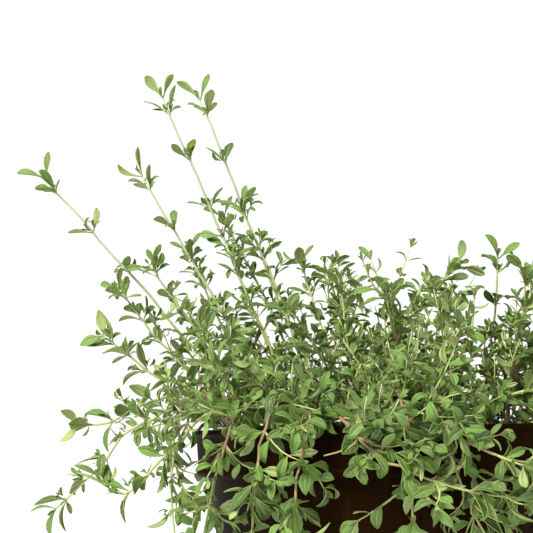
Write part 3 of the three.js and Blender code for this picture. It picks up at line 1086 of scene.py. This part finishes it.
def crown(bm, track, shapes, leaf, neck, wide, dice):
    """The leaves beyond a stem's own: a pair and a small bud at the end of a last bit of stem"""
    end = track.points[-1]
    way = track.ways[-1]
    aside = way.cross(Vector((0, 1, 0)))
    last = Track([end - way, end, end + way * neck], aside, dice.random())
    draw_tube(bm, last, SHOOT_RADII, 5, (0, 0))
    made = 0
    turn = dice.uniform(-0.5, 0.5) - QUARTER_TURN
    for share, size, opening in ((0.85, 1, wide), (0.97, 0.4, wide * 0.6)):
        turn += QUARTER_TURN
        for half_turn in OPPOSITE:
            length = leaf * size * dice.uniform(0.9, 1.1)
            roll = dice.choice((-1, 1)) * dice.uniform(0.4, 1.2)
            spread = opening + dice.uniform(-0.25, 0.25)
            made += grow_leaf(bm, shapes[:3], last, share, turn + half_turn, spread, roll, length, 0.1, dice)
    return made


print("a pair on a side shoot every", SHOOT_STEP, "mm")

# %% [markdown]
# ## The finish of leaves and stems
# A thyme leaf is matt, deep green to fresh green, with a paler midrib and underside, and a little
# light shines through it. Young leaves at the tips are a pale grey-green. Old leaves low inside the
# bush are darker: partly their own deeper green, partly painted shade for the bush's shaded inside.
# Each leaf has its own tint, painted on its points. The midrib, its groove and the raised veins
# follow the leaf's coordinates, so they need no geometry. The stems go from pale green at the tip
# to mauve brown where they are woody, and dead twigs are straw-coloured.

# %% Mix the leaf finish
LEAF_COOL = picture_colour(8, 54, 24)
LEAF_DARK = picture_colour(20, 56, 2)
LEAF_LIGHT = picture_colour(96, 142, 38)
LEAF_YOUNG = picture_colour(150, 170, 110)
LEAF_UNDER = picture_colour(188, 204, 128)
LEAF_RIB = picture_colour(160, 186, 100)
LEAF_STALK = picture_colour(178, 196, 104)
LEAF_THROUGH = picture_colour(150, 200, 50)
LEAF_SHINE = 0.22
SHINES_THROUGH = 0.15
VEIN_WAVES = 1.4


def make_leaf_finish():
    leaf = Finish("thyme_leaf")
    own = leaf.node("ShaderNodeUVMap", {"uv_map": "leaf"})
    split = leaf.node("ShaderNodeSeparateXYZ", {}, {"Vector": own})
    across = abs(split - 0.5)
    along = Signal(leaf, split.socket.node.outputs["Y"])
    rib = 1 - leaf.step(across, 0.01, 0.07)
    groove = 1 - leaf.step(across, 0, 0.3)
    stalk = 1 - leaf.step(along, 0.1, 0.4)
    margin = leaf.step(across, 0.4, 0.48)
    slant = leaf.node("ShaderNodeCombineXYZ", {}, {"X": along - 0.7 * across})
    waves = {"Vector": slant, "Scale": VEIN_WAVES, "Distortion": 0.4}
    veins = leaf.node("ShaderNodeTexWave", {"wave_profile": "SIN"}, waves, output="Fac")
    patches = leaf.noise(3.5)
    tint = leaf.attribute("tint")
    age_and_shade = leaf.attribute("age_and_shade")
    deep = leaf.mix(leaf.step(leaf.noise(30, detail=2), 0.4, 0.6), LEAF_COOL, LEAF_DARK)
    # Old leaves low on the stems are mixed darker: partly their own deeper green, partly painted shade for
    # the shaded inside of the bush.
    green = leaf.mix(leaf.step(tint + 0.5 * patches - 0.5 * age_and_shade, 0.25, 0.85), deep, LEAF_LIGHT)
    green = leaf.mix((1 - age_and_shade) * 0.5, green, LEAF_YOUNG)
    green = leaf.mix(leaf.step(veins, 0.6, 1) * 0.25, green, LEAF_RIB)
    green = leaf.mix(rib * 0.6 + margin * 0.25, green, LEAF_RIB)
    green = leaf.mix(stalk * 0.7, green, LEAF_STALK)
    leaf.set(base_color=leaf.mix(leaf.attribute("under") * 0.7, green, LEAF_UNDER))
    leaf.set(roughness=0.4 + 0.2 * patches)
    leaf.shine(LEAF_SHINE)
    leaf.bump(veins * 0.12 - groove, 0.35)
    through = leaf.node("ShaderNodeBsdfTranslucent", {}, {"Color": LEAF_THROUGH})
    shader = Signal(leaf, leaf.shader.outputs[0])
    both = leaf.node("ShaderNodeMixShader", {}, {"Fac": SHINES_THROUGH, 1: shader, 2: through})
    leaf.feed(leaf.tree.nodes["Material Output"].inputs["Surface"], both)
    return leaf.material


leaf_finish = make_leaf_finish()
print("leaf finish:", leaf_finish.name)

# %% Mix the stem finish
STEM_FRESH = picture_colour(194, 200, 156)
STEM_GREEN = picture_colour(192, 198, 122)
STEM_MAUVE = picture_colour(156, 122, 96)
STEM_WOODY = picture_colour(118, 96, 74)
STEM_STRAW = picture_colour(178, 162, 100)


def make_stem_finish():
    stem = Finish("thyme_stem")
    fibre = stem.noise(2.2, detail=4)
    wood = stem.attribute("wood")
    ragged = wood + 0.3 * (fibre - 0.5)
    fresh = stem.mix(stem.step(wood, 0.05, 0.25), STEM_FRESH, STEM_GREEN)
    green = stem.mix(stem.step(ragged, 0.35, 0.65), fresh, STEM_MAUVE)
    woody = stem.mix(stem.step(ragged, 0.7, 1), green, STEM_WOODY)
    stem.set(base_color=stem.mix(stem.step(wood, 1.2, 1.4), woody, STEM_STRAW))
    stem.set(roughness=0.6 + 0.2 * fibre)
    stem.bump(fibre, 0.06)
    return stem.material


stem_finish = make_stem_finish()
print("stem finish:", stem_finish.name)

# %% [markdown]
# ## How each kind of stem grows
# The kinds differ in a row of numbers. In millimetres: the gap between the places where leaves and
# shoots stand, the length of the leaf pairs there, of the side shoots, of the leaves on them and of
# those that crown the tip, the neck below the crown, and how far the stem strays. Two lengths are for
# the foot of the stem and its tip. As shares: where the lowest place is, how many shoots are bare
# straw, how woody the foot and the tip are, and the droop. Wide is the angle of the crown's leaves.
# The tall sprigs stay leggy, the bush is closely twigged but airy at its left, and the trailers lie
# between.

# %% Habits
# Most kinds share these. Where a row gives its own value, that one counts.
COMMON = dict(neck=3, bare=0.2, droop=0)
HABITS = {
    "sprig": dict(
        shapes=spoons[:3], gap=26, blades=(9, 0), shoots=(11, 0), leaflet=9, crown=12.5, wide=0.6,
        wood=(0.3, 0), below=0.15, stray=1,
    ),
    "short": dict(
        shapes=spoons[:4], gap=18, blades=(10, 6), shoots=(13, 4), leaflet=8.5, crown=10, wide=0.9,
        wood=(0.5, 0.1), below=0.3, stray=1.5,
    ),
    "mauve": dict(
        shapes=rounds, gap=11, blades=(9, 0), shoots=(30, -6), leaflet=9, crown=11, neck=4, wide=0.7,
        wood=(1, 0.4), below=0.08, stray=2,
    ),
    "leggy": dict(
        shapes=ovals[:3], gap=18, blades=(11, 10.5), shoots=(9, 2), leaflet=7.5, crown=11.5, wide=0.7,
        wood=(0.7, 0.2), below=0.4, stray=3,
    ),
    "trailer": dict(
        shapes=ovals, gap=12, blades=(13, 14.5), shoots=(22, 10), leaflet=11.5, crown=13, wide=0.6,
        wood=(0.9, 0.4), below=0.1, stray=4, bare=0.05, droop=0.3,
    ),
    "airy": dict(
        shapes=leaflets, gap=11, blades=(9, 10), shoots=(20, 9), leaflet=9, crown=10, wide=0.9,
        wood=(0.4, 0.1), below=0.2, stray=3,
    ),
    "bush": dict(
        shapes=leaflets, gap=7, blades=(9, 10), shoots=(30, 12), leaflet=9, crown=10, wide=0.9,
        wood=(0.9, 0.3), below=0.05, stray=3, bare=0.32,
    ),
}
SHORT_SPRIGS = (
    "front_of_tall", "behind_tall", "left_cluster", "left_back", "left_low", "left_mid", "top_middle",
    "right_outer", "back_left", "back_right",
)
MAUVE_SPRIGS = ("mauve_front", "mauve_back", "mauve_right", "right_upright", "right_front")
LEGGY_TRAILERS = ("left_high", "left_arch", "left_wisp", "left_upturn", "left_hang", "right_reach")
AIRY_SIDE = -35
CAD_LAST_PAIR = 0.97
CAD_LEAF_SIZES = (0.78, 1)
CAD_OPENINGS = (1.25, 0.62)
CAD_ROLL = 1.4
STEM_RADII = (0.85, 0.42)


def habit_of(stem):
    name = stem["name"]
    kind = name.split("_")[0].replace("hanging", "trailer")
    if kind == "bush" and stem["curve"][-1].x < AIRY_SIDE:
        kind = "airy"
    if name.endswith(SHORT_SPRIGS):
        kind = "short"
    if name.endswith(MAUVE_SPRIGS):
        kind = "mauve"
    if name.endswith(LEGGY_TRAILERS):
        kind = "leggy"
    return {**COMMON, **HABITS[kind]}


def cad_pairs(stem, index):
    """The places, turns, lengths, openings and rolls of the CAD's own leaves, pair by pair"""
    draw = random_from(SEED + index * 101)
    pairs = []
    for pair in range(stem["pairs"]):
        share = pair / (stem["pairs"] - 1)
        at = lerp(stem["leafy"], CAD_LAST_PAIR, share**0.9)
        size = stem["leaf"] * lerp(*CAD_LEAF_SIZES, share) * (0.9 + 0.2 * next(draw))
        opening = lerp(*CAD_OPENINGS, share) + 0.2 * (next(draw) - 0.5)
        rolls = [CAD_ROLL * (next(draw) - 0.5) for _ in range(2)]
        pairs.append((at, (pair + 0.5) * QUARTER_TURN, size, opening, rolls))
    return pairs


def extra_pairs(habit, pairs, track, dice):
    """More places between the CAD's pairs and below them"""
    gap = habit["gap"] / track.length
    extra = []
    share = habit["below"]
    turn = dice.uniform(0, 3)
    while share < 0.95:
        if all(abs(share - pair[0]) > gap * 0.45 for pair in pairs):
            size = lerp(*habit["blades"], share) * dice.uniform(0.85, 1.15)
            rolls = [dice.uniform(-0.6, 0.6) for _ in range(2)]
            extra.append((share, turn, size, lerp(*OPENINGS, share), rolls))
        share += gap * dice.uniform(0.85, 1.15)
        turn += QUARTER_TURN
    return extra


print("kinds of stem:", ", ".join(HABITS))

# %% [markdown]
# ## Growing every stem
# Now the rules come together. Each stem is one piece that stands for one CAD node: first its tube,
# then the twigs of its side shoots, then the leaves on all of them, because tubes are extruded faster
# while the bmesh is small. The dice are seeded by the stem's number, so every run grows the same plant.

# %% Grow one stem
SHOOT_LENGTHS = (0.5, 0.7, 0.9, 1.1, 1.3, 1.8)
SHORTEST_SHOOT = 1
INNER_PART = 0.7
SMALLEST_BLADE = 4
SMALL_BLADE = 7
GROWTH_SEED = 3000


def grow_shoots(bm, track, habit, places, dice):
    """Draws the twigs of the side shoots and returns what is needed to leaf them out"""
    shoots = []
    for share, turn, *_ in places:
        for half_turn in OPPOSITE:
            length = max(SHORTEST_SHOOT, lerp(*habit["shoots"], share)) * dice.choice(SHOOT_LENGTHS)
            bare = share < INNER_PART and dice.random() < habit["bare"]
            own = shoot_track(track, share, turn + half_turn, length, dice)
            if own and bare:
                draw_tube(bm, own, SHOOT_RADII, 4, (STRAW, STRAW))
            elif own:
                wood = lerp(*habit["wood"], share) * 0.8
                if length > TUFT:
                    draw_tube(bm, own, SHOOT_RADII, 4, (wood, wood * 0.4))
                pairs = round(length / SHOOT_STEP)
                shoots.append((own, pairs, lerp(1, 0.3, share)))
    return shoots


def grow_stem(stem, index):
    dice = random.Random(GROWTH_SEED + index)
    habit = habit_of(stem)
    track = stem_track(stem, habit["stray"], habit["droop"])
    pairs = cad_pairs(stem, index)
    places = sorted(pairs + extra_pairs(habit, pairs, track, dice))
    places = [place for place in places if clear_of_pot(track.at(place[0])[0])]
    bm = new_growth()
    draw_tube(bm, track, STEM_RADII, 6, habit["wood"])
    shoots = grow_shoots(bm, track, habit, places, dice)
    made = 0
    for share, turn, size, opening, rolls in places:
        for half_turn, roll in zip(OPPOSITE, rolls):
            if size > SMALLEST_BLADE:
                shapes = habit["shapes"] if size > SMALL_BLADE else leaflets
                # Low on a stem the leaves are old and sit inside the bush: this number darkens them there,
                # partly as their own older green and partly as painted shade.
                age_and_shade = lerp(1, 0.35, share)
                made += grow_leaf(bm, shapes, track, share, turn + half_turn, opening, roll, size, age_and_shade, dice)
    made += crown(bm, track, habit["shapes"], habit["crown"], habit["neck"], habit["wide"], dice)
    for own, count, age_and_shade in shoots:
        made += leaf_out(bm, own, count, habit["leaflet"], age_and_shade, dice)
    bmesh.ops.recalc_face_normals(bm, faces=[f for f in bm.faces if f.material_index == 0])
    for face in bm.faces:
        face.smooth = True
    finish_piece(stem["name"] + "_leafy", bm, [stem_finish, leaf_finish], [stem["name"]])
    return made


leaf_count = sum(grow_stem(stem, index) for index, stem in enumerate(stems))
print("leaves:", leaf_count)
